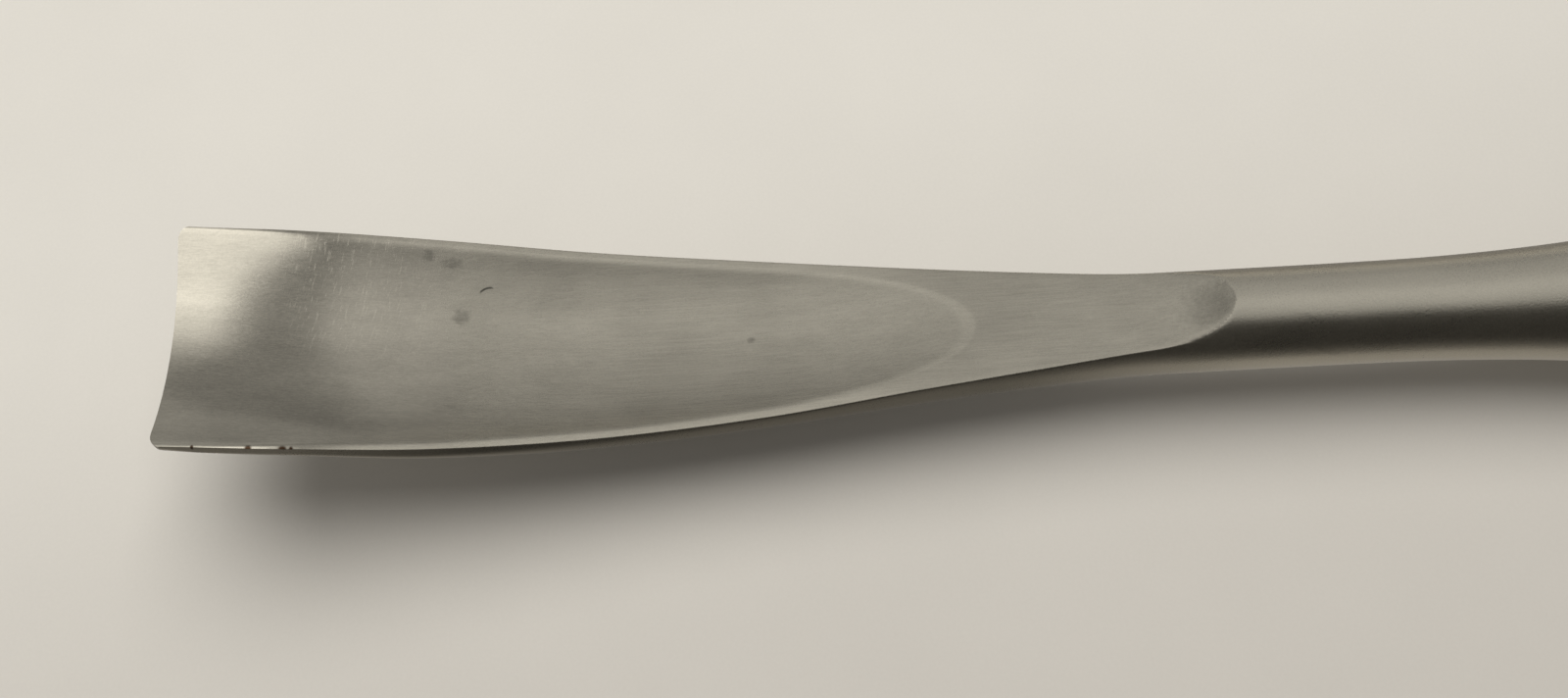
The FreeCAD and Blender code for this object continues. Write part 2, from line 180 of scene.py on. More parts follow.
# %% [markdown]
# ## The forging as one grid
# The forging could be cut with booleans, but they leave long thin triangles that catch the light badly.
# Here it is a grid of rings instead: one parameter runs along the blade, the other round the section, first
# across the ground top from the far rim to the near one and then round the back.  Rings crowd together at
# the edge, at the end of the scoop and at the flat's thumbnail, where the shape turns quickest.

# %% Spacing of the rings and of the points on a ring
HALF_RING = 64                # points across the top, and the same round the back
RING = 2 * HALF_RING
RUNOUT_CLEAR = 84.0           # behind the flat's last trace
BLADE_END = 134.0             # rear face of the bolster
spans = [(0, 1.2, 14), (1.2, 6, 28), (6, 56, 170), (56, 64.5, 66), (64.5, 74, 36), (74, RUNOUT_CLEAR, 90)]
blade_stations = np.concatenate([np.linspace(a, b, n, endpoint=False) for a, b, n in spans])
DIE_FROM = 116.0              # from here the forging was pressed in an eight-sided die
neck_stations = np.concatenate([np.linspace(RUNOUT_CLEAR, DIE_FROM, 66, endpoint=False),
                                np.linspace(DIE_FROM, BLADE_END, 90)])

SCOOP_SHARE = 0.70            # share of the top's points that lie in the scoop
LIP_RANGE = (0.35, 0.965)     # shares of the half width between which the lip is kept
LEAST_TOP = 0.8               # least width of the top, as a share of the oval's
CROWDING = 0.45               # how much closer the points stand near the lip


def across_top(x):
    """Places across the top as shares of its half width, from 1 at the far rim to -1 at the near rim, with
    most of the points inside the scoop and a crowd of them at its lip."""
    radius, depth = smooth_curve(SCOOP_RADIUS, x), smooth_curve(SCOOP_DEPTH, x)
    lip = np.sqrt(np.maximum(2 * radius * depth - depth**2, 0)) / top_half_width(x)
    lip = np.clip(lip, *LIP_RANGE)
    t = np.linspace(1, -1, HALF_RING + 1)[None, :] * np.ones((len(x), 1))
    size, lip = np.abs(t), lip[:, None]
    inner = size / SCOOP_SHARE
    inner = lip * ((1 - CROWDING) * inner + CROWDING * np.sin(np.pi / 2 * np.clip(inner, 0, 1)))
    outer = lip + (1 - lip) * (size - SCOOP_SHARE) / (1 - SCOOP_SHARE)
    return np.sign(t) * np.where(size < SCOOP_SHARE, inner, outer)


def top_half_width(x):
    """Half width of the top: where the flat meets the oval, and never under LEAST_TOP of the oval's."""
    half_width, half_height, centre = blank_oval(x)
    reach = np.clip((flat_height(x) - centre) / half_height, 0, 1)
    return half_width * np.maximum(np.sqrt(1 - reach**2), LEAST_TOP)


print(len(blade_stations) + len(neck_stations), "rings of", RING, "points")

# %% [markdown]
# ## Points of the blade
# The easing at the lips is what makes ground steel look real: a wheel and a polishing mop never leave a
# mathematically sharp edge, so the heights are blended softly and each ring is then averaged a little with
# its own neighbours, which rounds the rims by about a tenth of a millimetre.

# %% Blade rings: the ground top, then the back
LIP_BLEND = 0.045             # softness in millimetres where the scoop runs into the flat
RIM_BLEND = 0.02
CORNER_FADE = 6.0             # the corners' setback is gone this far from the edge
SCOOP_CLEAR = 66.0            # behind the scoop's run-out
MATCHED_TO = 8.0              # length over which the back's points leave their places under the top's
BACK_CROWDING = 0.8           # how much closer the back's points stand near the rims


def corner_setback(y, x):
    """How far back the cutting edge lies at y: a quarter circle of CORNER_RADIUS at each side, fading out
    over CORNER_FADE."""
    side = RIM_HALF_WIDTH[0][1] - CORNER_RADIUS
    over = np.clip(np.abs(y) - side, 0, CORNER_RADIUS)
    return (CORNER_RADIUS - np.sqrt(CORNER_RADIUS**2 - over**2)) * np.clip(1 - x / CORNER_FADE, 0, 1)**2


def blade_rings(x):
    """Points of the rings at stations x.  Top: the lowest of flat, scoop and oval over y.  Back: the oval
    turned through the rest of the circle, and never further than the bevel allows below the scoop."""
    column = x[:, None]
    half_width, half_height, centre = (v[:, None] for v in blank_oval(x))
    width = top_half_width(x)[:, None]
    share = across_top(x)
    y_top = width * share
    x_top = column + corner_setback(y_top, column)
    flat = flat_height(x_top)
    scoop = np.where(x_top < SCOOP_CLEAR, scoop_height(np.minimum(x_top, SCOOP_CLEAR), y_top), NEVER)
    crown = centre + half_height * np.sqrt(np.maximum(1 - (y_top / half_width)**2, 0))
    z_top = soft_min(soft_min(flat, scoop, LIP_BLEND), crown, RIM_BLEND)

    rim_angle = np.arccos(np.clip(width / half_width, -1, 1))
    u = np.linspace(0, 1, HALF_RING + 1)[None, 1:-1]
    even = u - BACK_CROWDING / (2 * np.pi) * np.sin(2 * np.pi * u)
    swept = rim_angle - even * (np.pi + 2 * rim_angle)
    matched = -np.arccos(np.clip(share[:, 1:-1] * width / half_width, -1, 1))
    weight = 1 - ease(column, 0, MATCHED_TO)
    angle = swept * (1 - weight) + matched * weight
    y_back = half_width * np.cos(angle)
    x_back = column + corner_setback(y_back, column)
    z_oval = centre + half_height * np.sin(angle)
    kept = EDGE_THICKNESS + BEVEL_RISE * np.clip(x_back, 0, BEVEL_LENGTH) / BEVEL_LENGTH
    z_bevel = np.where(column < BEVEL_LENGTH, scoop_height(x_back, y_back, kept), -NEVER)
    z_back = -soft_min(-z_oval, -z_bevel, RIM_BLEND)
    joined = [np.concatenate([top, back[:, ::-1]], axis=1) for top, back in
              ((x_top, x_back), (y_top, y_back), (z_top, z_back))]
    return np.stack(joined, axis=-1), flat - scoop, crown - np.minimum(flat, scoop)


blade_points, lip_rise, crown_rise = blade_rings(blade_stations)
print("blade grid", blade_points.shape, "lowest back", round(float(blade_points[..., 2].min()), 2), "mm")

# %% [markdown]
# ## Neck, bolster and tang
# Behind the flat the forging is turned: a radius that grows along the centre line.  At the bolster the round
# bar was forged into an eight-sided die, so its radius is the smaller of the round one and the octagon's,
# which leaves a scalloped arc on each flat.  The tang is hidden in the grip but is part of the same piece.

# %% Neck rings and tang rings
TAIL = [(BLADE_END, 5.5), (140.0, 5.5), (140.0, 3.0), (196.0, 3.0), (196.0, 2.5), (211.0, 2.5)]
EVEN_OUT = 12.0               # length over which the points turn from the blade's angles to even ones


def octagon_radius(angle):
    """Distance from the centre line to the octagon's side in a direction: half the flats over the cosine of
    the angle to the nearest flat's middle."""
    off = (angle + np.pi / 8) % (np.pi / 4) - np.pi / 8
    return ACROSS_FLATS / 2 / np.cos(off)


def neck_rings(x, first_ring):
    """Rings turned at the neck radius, clipped by the octagon.  Their points start at the angles of the last
    blade ring and even out over EVEN_OUT."""
    start = np.unwrap(np.arctan2(first_ring[:, 2], first_ring[:, 1]))
    first = round(start[0] / (2 * np.pi) * RING)
    even = 2 * np.pi * (np.arange(RING) + first) / RING
    weight = ease(x, RUNOUT_CLEAR, RUNOUT_CLEAR + EVEN_OUT)[:, None]
    angle = start + weight * (even - start)
    radius = smooth_curve(NECK_RADIUS, x)[:, None] * np.ones_like(angle)
    radius = np.where(x[:, None] > DIE_FROM, soft_min(radius, octagon_radius(angle), RIM_BLEND), radius)
    return np.stack([x[:, None] * np.ones_like(angle), radius * np.cos(angle), radius * np.sin(angle)],
                    axis=-1)


clear_ring = blade_rings(np.array([RUNOUT_CLEAR]))[0][0]
neck_points = neck_rings(neck_stations, clear_ring)
tail_angle = np.arctan2(neck_points[-1, :, 2], neck_points[-1, :, 1])
tail_points = np.array([[[at] * RING, radius * np.cos(tail_angle), radius * np.sin(tail_angle)]
                        for at, radius in TAIL]).transpose(0, 2, 1)
rings = np.concatenate([blade_points, neck_points, tail_points])

EASING_PASSES = 2
EASED_TO = (100.0, 112.0)     # the easing fades out here, so that the bolster keeps its corners
eased = rings.copy()
for _ in range(EASING_PASSES):
    eased = 0.5 * eased + 0.25 * (np.roll(eased, 1, axis=1) + np.roll(eased, -1, axis=1))
fade = ease(rings[:, :1, :1], *EASED_TO)
rings = rings * fade + eased * (1 - fade)
print("forging grid", rings.shape)

# %% [markdown]
# ## From points to a closed mesh
# Each pair of neighbouring rings is joined by four-sided faces.  The cutting edge is closed by a strip of
# faces between the top and the back, and the tang by a fan round one middle point, so that the piece is
# a watertight solid like the forging itself.

# %% Build the mesh
def to_frame(points):
    """Millimetres from the edge and centre line to the frame's metres."""
    return points.reshape(-1, 3) * MM + np.array([EDGE_X, 0, AXIS_Z])


def ring_faces(count, ring):
    """Corner numbers of the faces between neighbouring rings, wound so that they point outwards."""
    i, j = np.meshgrid(np.arange(count - 1), np.arange(ring), indexing="ij")
    a, b = i * ring + j, i * ring + (j + 1) % ring
    return np.stack([a, b, b + ring, a + ring], axis=-1).reshape(-1, 4)


def make_mesh(name, points, quads, triangles):
    """A mesh object from whole arrays of corners, four-sided and three-sided faces."""
    mesh = bpy.data.meshes.new(name)
    mesh.from_pydata(points.tolist(), [], quads.tolist() + triangles.tolist())
    mesh.update()
    piece = bpy.data.objects.new(name, mesh)
    bpy.context.scene.collection.objects.link(piece)
    mesh.shade_smooth()
    return piece


body_quads = ring_faces(len(rings), RING)
j = np.arange(1, HALF_RING - 1)
edge_quads = np.stack([j + 1, j, RING - j, RING - j - 1], axis=-1)
edge_triangles = np.array([[1, 0, RING - 1], [HALF_RING, HALF_RING - 1, HALF_RING + 1]])
pole = len(rings) * RING
last = pole - RING + np.arange(RING)
fan = np.stack([last, np.roll(last, -1), np.full(RING, pole)], axis=-1)
points = np.concatenate([to_frame(rings), to_frame(np.array([[TAIL[-1][0], 0.0, 0.0]]))])
forging = make_mesh("forging", points, np.concatenate([body_quads, edge_quads]),
                    np.concatenate([edge_triangles, fan]))
SHARP_FROM = math.radians(40)
forging.data.set_sharp_from_angle(angle=SHARP_FROM)
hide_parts("blade_forging")
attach(forging, "root")
print("forging has", len(forging.data.polygons), "faces")

# %% [markdown]
# ## Which faces were ground, and a grain to follow
# The flat, the scoop and the bevel were ground and then polished along the blade, while the rest was bead
# blasted, so one piece carries two finishes.  A face belongs to the ground finish where the cut lies below
# the round blank.  Painted masks would have to be redrawn whenever the shape changed, so the split is taken
# from the shape itself.  A UV map whose first direction runs round the section tells the shader which way
# light spreads, because fine lines along the blade smear a reflection across it.

# %% Finishes per face, the grain map and the lip attribute
GROUND, BLASTED = 0, 1
LEAST_CUT = 0.03                                    # millimetres taken off before a face counts as ground
BLAST_OVERLAP = 0.2                                 # how far the blasting reached over the bevel's end
cut = np.zeros((len(rings), RING))
cut[:len(blade_stations), :HALF_RING + 1] = crown_rise
face_cut = (cut + np.roll(cut, -1, axis=1))[:-1] / 2
on_top = (np.arange(RING) < HALF_RING)[None, :]
on_bevel = (rings[:-1, :1, 0] < BEVEL_LENGTH - BLAST_OVERLAP) & ~on_top
face_finish = np.full(len(forging.data.polygons), BLASTED)
on_cut = (face_cut > LEAST_CUT) & on_top
face_finish[:len(body_quads)] = np.where(on_cut | on_bevel, GROUND, BLASTED).ravel()
face_finish[len(body_quads):len(body_quads) + len(edge_quads)] = GROUND
forging.data.polygons.foreach_set("material_index", face_finish)

column = np.arange(RING) / RING
around = np.stack([column, column + 1 / RING, column + 1 / RING, column], axis=-1)
along = rings[:, 0, 0] / BLADE_END
rows = np.stack([along[:-1], along[:-1], along[1:], along[1:]], axis=-1)
grain = np.zeros((len(forging.data.loops), 2))
grain[:body_quads.size, 0] = np.tile(around[None], (len(rings) - 1, 1, 1)).ravel()
grain[:body_quads.size, 1] = np.repeat(rows[:, None], RING, axis=1).ravel()
forging.data.uv_layers.new(name="grain").data.foreach_set("uv", grain.ravel())

NO_LIP, HIGHEST_LIP = -1.0, 3.0                     # millimetres; no lip is far from the scoop's run-out
lip = np.full((len(rings), RING), NO_LIP)
lip[:len(blade_stations), :HALF_RING + 1] = np.clip(lip_rise, NO_LIP, HIGHEST_LIP)
lip_data = forging.data.attributes.new("lip", "FLOAT", "POINT")
lip_data.data.foreach_set("value", np.append(lip.ravel(), NO_LIP))
print("ground faces:", int((face_finish == GROUND).sum()), "of", len(face_finish))

# %% [markdown]
# ## Building finishes from nodes
# A finish is a small chain of nodes: a pattern, a range that turns it into a useful number, and the shader.
# Linking each node by hand takes many lines, so a few helpers keep each finish readable.  Patterns take
# their places in millimetres from the cutting edge and centre line, the same measure as the shape, so that
# a mark can be put where it belongs.

# %% Helpers for nodes
def add(tree, kind, inputs=None, **settings):
    """A new node of a kind with its settings; each input gets a value, or a link where an output is given."""
    node = tree.nodes.new("ShaderNode" + kind)
    for key, value in settings.items():
        setattr(node, key, value)
    for key, value in (inputs or {}).items():
        if isinstance(value, bpy.types.NodeSocket):
            tree.links.new(value, node.inputs[key])
        else:
            node.inputs[key].default_value = value
    return node


def maths(tree, how, a, b=0.0):
    """Sum, product, larger value or another combination of two numbers."""
    return add(tree, "Math", {0: a, 1: b}, operation=how).outputs[0]


def between(tree, source, low, high, to_low, to_high):
    """A number from low to high turned into one from to_low to to_high, eased and held at the ends."""
    return add(tree, "MapRange", {"Value": source, "From Min": low, "From Max": high, "To Min": to_low,
                                  "To Max": to_high}, interpolation_type="SMOOTHSTEP").outputs["Result"]


def swing(tree, source, amount):
    """A pattern around one half turned into a number from -amount to +amount."""
    return add(tree, "MapRange", {"Value": source, "From Min": 0.3, "From Max": 0.7, "To Min": -amount,
                                  "To Max": amount}).outputs["Result"]


def total(tree, *numbers):
    """Sum of several numbers."""
    result = numbers[0]
    for number in numbers[1:]:
        result = maths(tree, "ADD", result, number)
    return result


def blend(tree, factor, a, b):
    """Colour a where the factor is 0 and colour b where it is 1."""
    node = tree.nodes.new("ShaderNodeMix")
    node.data_type = "RGBA"
    for socket, value in ((node.inputs[0], factor), (node.inputs[6], a), (node.inputs[7], b)):
        if isinstance(value, bpy.types.NodeSocket):
            tree.links.new(value, socket)
        else:
            socket.default_value = value
    return node.outputs[2]


def tinted(tree, colour, amount):
    """A colour made lighter or darker by an amount around one."""
    return add(tree, "VectorMath", {0: colour[:3], "Scale": amount}, operation="SCALE").outputs[0]


print("helpers for nodes: add, maths, between, swing, total, blend, tinted")

# %% [markdown]
# ## Places, patterns and shaders
# A noise can be stretched by giving it fewer cells to the millimetre along one axis, which is all that a
# grinding line is.  A spot is a distance from a place, cut off at a size.  The last two helpers start a
# material and link its patterns.

# %% Helpers for places and patterns
def millimetres(tree):
    """Object coordinates in millimetres from the cutting edge and the centre line."""
    where = add(tree, "TexCoord").outputs["Object"]
    return add(tree, "Mapping", {"Vector": where, "Location": (-EDGE_X / MM, 0, -AXIS_Z / MM),
                                 "Scale": (1 / MM, 1 / MM, 1 / MM)}).outputs[0]


def noise(tree, per_mm, detail=3.0, rough=0.55, where=None):
    """Cloudy pattern with per_mm cells to the millimetre along each axis."""
    cells = add(tree, "Mapping", {"Vector": where or millimetres(tree), "Scale": per_mm}).outputs[0]
    return add(tree, "TexNoise", {"Vector": cells, "Scale": 1.0, "Detail": detail,
                                  "Roughness": rough}).outputs[0]


def spot(tree, place, size, ragged=0.0):
    """1 at a place and 0 further from it than size, in millimetres per axis, with a ragged outline."""
    offset = add(tree, "VectorMath", {0: millimetres(tree), 1: place}, operation="SUBTRACT").outputs[0]
    scaled = add(tree, "VectorMath", {0: offset, 1: [1 / s for s in size]}, operation="MULTIPLY").outputs[0]
    away = add(tree, "VectorMath", {0: scaled}, operation="LENGTH").outputs["Value"]
    if ragged:
        away = total(tree, away, swing(tree, noise(tree, (2.2, 2.2, 2.2)), ragged))
    return between(tree, away, 0.35, 1.05, 1.0, 0.0)


def new_finish(name, **values):
    """A material, its nodes and its shader, with the given values set on the shader's own sockets."""
    material = bpy.data.materials.new(name)
    material.use_nodes = True
    shader = material.node_tree.nodes["Principled BSDF"]
    for key, value in values.items():
        shader.inputs[key.replace("_", " ").title().replace("Ior", "IOR")].default_value = value
    return material, material.node_tree, shader


def shade(tree, shader, height=None, depth=0.0, **sources):
    """Links patterns to the shader; a height pattern whose full range is depth metres becomes relief."""
    for key, source in sources.items():
        tree.links.new(source, shader.inputs[key.replace("_", " ").title()])
    if height is not None:
        bump = add(tree, "Bump", {"Height": height, "Distance": depth, "Strength": 1.0})
        tree.links.new(bump.outputs[0], shader.inputs["Normal"])


STEEL = (0.57, 0.53, 0.437, 1)
print("steel reflects", STEEL[:3])

# %% [markdown]
# ## Ground steel: the scoop and the flat
# The wheel left fine lines along the blade.  They are faint streaks a little lighter and darker, and together
# they spread every reflection sideways, which the shader's anisotropy does with the grain map as its guide.
# Streaks alone would look new, so broad clouds from handling lie over them.  The tip is polished brighter
# than the rest, and the lip where the scoop runs out is a little lighter.  The lands beside the scoop are
# lightened as painted light, and the flat behind them is darkened a little as painted shade.

# %% Lines, clouds, the lighter lip and the painted light on the lands of the ground steel
ground, tree, shader = new_finish("ground_steel", base_color=STEEL, metallic=1.0, roughness=0.28,
                                  anisotropic=0.7)
place = add(tree, "SeparateXYZ", {0: millimetres(tree)})
from_edge, aside = place.outputs[0], place.outputs[1]
LINES_PER_MM = 9.0
lines = noise(tree, (0.16, LINES_PER_MM, LINES_PER_MM), 5.0, 0.65)
broad_lines = noise(tree, (0.05, 1.3, 1.3), 3.0)
clouds = noise(tree, (0.17, 0.24, 0.24), 4.0)
pits = noise(tree, (6.0, 6.0, 6.0), 2.0)
rise = add(tree, "Attribute", attribute_name="lip").outputs["Fac"]
# Lighter along the lip where the scoop runs out.
rubbed = maths(tree, "MULTIPLY", between(tree, rise, -0.06, 0.0, 0, 1), between(tree, rise, 0.05, 0.16, 1, 0))
# Painted light: the ground land outside the scoop is lightened as if it caught the lamp, fading from 45 mm,
# and from 62 mm back the flat is darkened a little as painted shade.
painted_light_on_lands = maths(tree, "MULTIPLY", between(tree, rise, -0.1, 0.0, 1, 0),
             between(tree, from_edge, 45.0, 62.0, 1, -0.35))
tone = total(tree, 1.0, swing(tree, lines, 0.095), swing(tree, broad_lines, 0.04), swing(tree, clouds, 0.07),
             swing(tree, pits, 0.045), maths(tree, "MULTIPLY", rubbed, 0.09),
             maths(tree, "MULTIPLY", painted_light_on_lands, 0.17))
print("ground steel lines every", round(1 / LINES_PER_MM, 2), "mm")

# %% [markdown]
# ## Marks of use on the ground steel
# Near the tip the steel was scoured crosswise, which left bright flecks.  There are four small dark stains,
# one bent dark hair line, and small rust nicks on the near rim; three darker spots, two broad faint ones and
# one in the flat's thumbnail, are painted darker reflection.  Each mark is a spot or a line at its own place,
# taken off the tone of the steel; modelling them would add nothing, since they have no depth.

# %% Flecks, stains, painted dark reflections, the hair line and the nicks
# The first four are real stains; the two broad faint ones and the last one, in the flat's thumbnail, are
# painted darker reflection.
STAINS_AND_PAINTED_REFLECTIONS = [((18.8, 7.9, 4.0), (0.6, 0.55, 3), 0.27), ((20.6, 7.4, 4.0), (1.25, 0.6, 3), 0.28),
          ((21.2, 3.3, 1.0), (0.95, 0.85, 3), 0.30), ((44.0, 0.7, 0.0), (0.42, 0.36, 3), 0.34),
          ((29.0, 4.8, 1.0), (3.0, 1.6, 3), 0.06), ((10.5, -4.6, 3.0), (5.0, 3.2, 5), 0.09),
          ((79.6, -0.4, 3.4), (3.0, 2.5, 2.5), 0.20)]
NICKS = [((7.0, -9.42, 6.15), (0.34, 0.32, 0.5)), ((9.4, -9.4, 5.7), (0.42, 0.32, 0.5)),
         ((10.0, -9.4, 5.6), (0.2, 0.26, 0.4)), ((3.1, -9.4, 6.85), (0.16, 0.2, 0.4))]
HAIR_PLACE, HAIR_LENGTH, HAIR_WIDTH = (23.1, 5.6, 0.0), 1.25, 0.11
HAIR_TURN, HAIR_BOW = math.radians(-20), 0.45

scoured = maths(tree, "MULTIPLY", between(tree, from_edge, 7, 10, 0, 1),
                between(tree, from_edge, 13, 24, 1, 0))
scoured = maths(tree, "MULTIPLY", scoured, between(tree, aside, -2.0, 3.0, 0, 1))
slanted = add(tree, "Mapping", {"Vector": millimetres(tree), "Rotation": (0, 0, math.radians(14))}).outputs[0]
flecks = between(tree, noise(tree, (6.5, 0.8, 0.8), 4.0, 0.7, slanted), 0.55, 0.66, 0, 1)
flecks = maths(tree, "MULTIPLY", flecks, scoured)
tone = total(tree, tone, maths(tree, "MULTIPLY", flecks, 0.26), maths(tree, "MULTIPLY", scoured, -0.02))
# Real stains and painted darker reflections alike are taken off the tone here.
for where, size, depth in STAINS_AND_PAINTED_REFLECTIONS:
    tone = maths(tree, "SUBTRACT", tone, maths(tree, "MULTIPLY", spot(tree, where, size, 0.22), depth))
offset = add(tree, "VectorMath", {0: millimetres(tree), 1: HAIR_PLACE}, operation="SUBTRACT").outputs[0]
turned = add(tree, "Mapping", {"Vector": offset, "Rotation": (0, 0, HAIR_TURN)}).outputs[0]
hair = add(tree, "SeparateXYZ", {0: turned})
bow = maths(tree, "MULTIPLY", maths(tree, "POWER", hair.outputs[0], 2.0), HAIR_BOW)
off_line = maths(tree, "ABSOLUTE", maths(tree, "ADD", hair.outputs[1], bow))
from_middle = maths(tree, "ABSOLUTE", hair.outputs[0])
hair_line = maths(tree, "MULTIPLY", between(tree, off_line, HAIR_WIDTH / 3, HAIR_WIDTH, 1, 0),
                  between(tree, from_middle, HAIR_LENGTH / 3, HAIR_LENGTH / 2, 1, 0))
tone = maths(tree, "SUBTRACT", tone, maths(tree, "MULTIPLY", hair_line, 0.7))
rust = spot(tree, *NICKS[0])
for where, size in NICKS[1:]:
    rust = maths(tree, "MAXIMUM", rust, spot(tree, where, size))
colour = blend(tree, rust, tinted(tree, STEEL, tone), (0.10, 0.06, 0.035, 1))
polish = between(tree, from_edge, 9.0, 24.0, 0.13, 0.28)
rough = total(tree, polish, swing(tree, lines, 0.02), maths(tree, "MULTIPLY", flecks, 0.08))
shade(tree, shader, base_color=colour, roughness=rough, depth=0.0022 * MM,
      height=total(tree, lines, maths(tree, "MULTIPLY", broad_lines, 0.8)))
tangent = add(tree, "Tangent", direction_type="UV_MAP", uv_map="grain")
tree.links.new(tangent.outputs[0], shader.inputs["Tangent"])
forging.data.materials.append(ground)
print(len(STAINS_AND_PAINTED_REFLECTIONS), "stains and", len(NICKS), "nicks")

# %% [markdown]
# ## Blasted steel: the neck, the back and the bolster
# Fine beads leave an even matt grain that turns every highlight into a soft band.  A rough shader alone
# looks like plastic; the grain is real relief of a few thousandths of a millimetre, so it also goes into
# the relief and, because each dent holds a little dirt, into the colour.

# %% Blasted finish
blasted, tree, shader = new_finish("blasted_steel", base_color=STEEL, metallic=1.0, roughness=0.3)
beads, fine_beads = noise(tree, (6.5, 6.5, 6.5)), noise(tree, (15.0, 15.0, 15.0), 2.0)
clouds = noise(tree, (0.12, 0.3, 0.3), 4.0)
tone = total(tree, 1.08, swing(tree, beads, 0.08), swing(tree, clouds, 0.05))
rough = total(tree, 0.3, swing(tree, beads, 0.03), swing(tree, clouds, 0.02))
shade(tree, shader, base_color=tinted(tree, STEEL, tone), roughness=rough, depth=0.012 * MM,
      height=total(tree, beads, maths(tree, "MULTIPLY", fine_beads, 0.5)))
forging.data.materials.append(blasted)
print("forging finishes:", [material.name for material in forging.data.materials])

# %% [markdown]
# ## Brushed flats on the grip
# The grip's eight flats were drawn along a belt before blasting, so long faint lines show through a matt
# surface, and hands have rubbed it unevenly.  The lines run along the tool, so one pattern stretched along
# it serves all eight flats.

# %% Grip steel
grip_steel, tree, shader = new_finish("grip_steel", base_color=STEEL, metallic=1.0, roughness=0.3)
belt_lines = noise(tree, (0.08, 5.0, 5.0), 4.0, 0.6)
beads, handled = noise(tree, (7.0, 7.0, 7.0)), noise(tree, (0.05, 0.12, 0.12), 4.0)
tone = total(tree, 0.99, swing(tree, belt_lines, 0.05), swing(tree, beads, 0.04), swing(tree, handled, 0.05))
rough = total(tree, 0.3, swing(tree, belt_lines, 0.03), swing(tree, handled, -0.05))
shade(tree, shader, base_color=tinted(tree, STEEL, tone), roughness=rough, depth=0.008 * MM,
      height=total(tree, beads, belt_lines))
print("grip finish:", grip_steel.name)

# %% [markdown]
# ## Turned steel
# The strike cap and the fasteners came off a lathe, whose tool leaves rings round the centre line on the
# sides and circles on the ends.  Both are the same pattern when it is read from the place along the tool
# and the distance from the centre line.  The cap also carries bruises where a mallet meets it.

# %% Turned finishes for the cap and the fasteners
def turned_steel(name, colour, rough_middle, bruises):
    """Steel with lathe rings: a noise of the place along the tool and the distance from the centre line."""
    material, tree, shader = new_finish(name, base_color=colour, metallic=1.0, roughness=rough_middle)
    split = add(tree, "SeparateXYZ", {0: millimetres(tree)})
    flat = add(tree, "CombineXYZ", {1: split.outputs[1], 2: split.outputs[2]}).outputs[0]
    radius = add(tree, "VectorMath", {0: flat}, operation="LENGTH").outputs["Value"]
    lathe = add(tree, "CombineXYZ", {0: split.outputs[0], 1: radius}).outputs[0]
    cuts = noise(tree, (7.0, 7.0, 0.0), 3.0, 0.6, lathe)
    rubbed = noise(tree, (0.25, 0.25, 0.25), 4.0)
    dents = between(tree, noise(tree, (0.9, 0.9, 0.9), 1.0), 0.62, 0.74, 0, bruises)
    tone = total(tree, 1.0, swing(tree, cuts, 0.07), swing(tree, rubbed, 0.05),
                 maths(tree, "MULTIPLY", dents, -0.18))
    rough = total(tree, rough_middle, swing(tree, cuts, 0.03), swing(tree, rubbed, 0.04))
    shade(tree, shader, base_color=tinted(tree, colour, tone), roughness=rough, depth=0.01 * MM,
          height=total(tree, cuts, maths(tree, "MULTIPLY", dents, -4.0)))
    return material


cap_steel = turned_steel("cap_steel", (0.58, 0.545, 0.47, 1), 0.24, 1.0)
fastener_steel = turned_steel("fastener_steel", (0.62, 0.60, 0.55, 1), 0.2, 0.0)
print("turned:", cap_steel.name, fastener_steel.name)

# %% [markdown]
# ## Fibre, rubber and polymer
# Black vulcanised fibre gaskets show short pale fibres in a dull body, nitrile seal rings are smoother with
# a grey bloom, and the sleeves inside are natural acetal, cream-coloured with lathe rings.  None is metal,
# so their colour comes from the body and their shine from a thin clear surface.

# %% Finishes for the gaskets, the seals and the sleeves
def soft_finish(name, dark, pale, per_mm, rough_middle, depth):
    """Non-metal whose colour runs from dark to pale over a pattern, with the same pattern as relief."""
    material, tree, shader = new_finish(name, base_color=dark, roughness=rough_middle)
    fine, wide = noise(tree, per_mm, 4.0, 0.6), noise(tree, (0.3, 0.3, 0.3), 3.0)
    amount = total(tree, between(tree, fine, 0.42, 0.72, 0, 0.8), swing(tree, wide, 0.15))
    rough = total(tree, rough_middle, swing(tree, fine, 0.06), swing(tree, wide, 0.04))
    amount = maths(tree, "MAXIMUM", amount)
    shade(tree, shader, base_color=blend(tree, amount, dark, pale), roughness=rough, height=fine, depth=depth)
    return material


fibre = soft_finish("gasket_fibre", (0.022, 0.02, 0.018, 1), (0.085, 0.078, 0.07, 1), (1.2, 5, 5), 0.62,
                    0.02 * MM)
nitrile = soft_finish("seal_rubber", (0.012, 0.012, 0.012, 1), (0.05, 0.05, 0.052, 1), (2.5, 2.5, 2.5), 0.45,
                      0.005 * MM)
acetal = soft_finish("sleeve_polymer", (0.72, 0.69, 0.61, 1), (0.80, 0.77, 0.70, 1), (6.0, 0.5, 0.5), 0.38,
                     0.01 * MM)

# %% [markdown]
# ## Which piece gets which finish
# The pieces inside the grip can't be seen, but they are dressed like the rest, because the model is also
# taken apart.  A short list names the exceptions; what is left is a fastener.

# %% Give every piece its finish
FINISH_OF = {"blade_forging": blasted, "grip_shell": grip_steel, "rear_plug": grip_steel,
             "strike_cap": cap_steel, "front_gasket": fibre, "rear_gasket": fibre, "front_seal_ring": nitrile,
             "rear_seal_ring": nitrile, "core_sleeve_front": acetal, "core_sleeve_rear": acetal}
for name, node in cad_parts.items():
    node.data.materials.clear()
    node.data.materials.append(FINISH_OF.get(name, fastener_steel))
    print(name, "gets", node.data.materials[0].name)

# %% [markdown]
# ## The table top
# The tool lies on pale card that fills the view.  Its far left is a little brighter than the near right,
# because the lamp stands there, and a lamp alone can't give that without burning out the left, so the card
# itself is toned a little.  From below it lets the camera through, so the back of the tool can be seen.

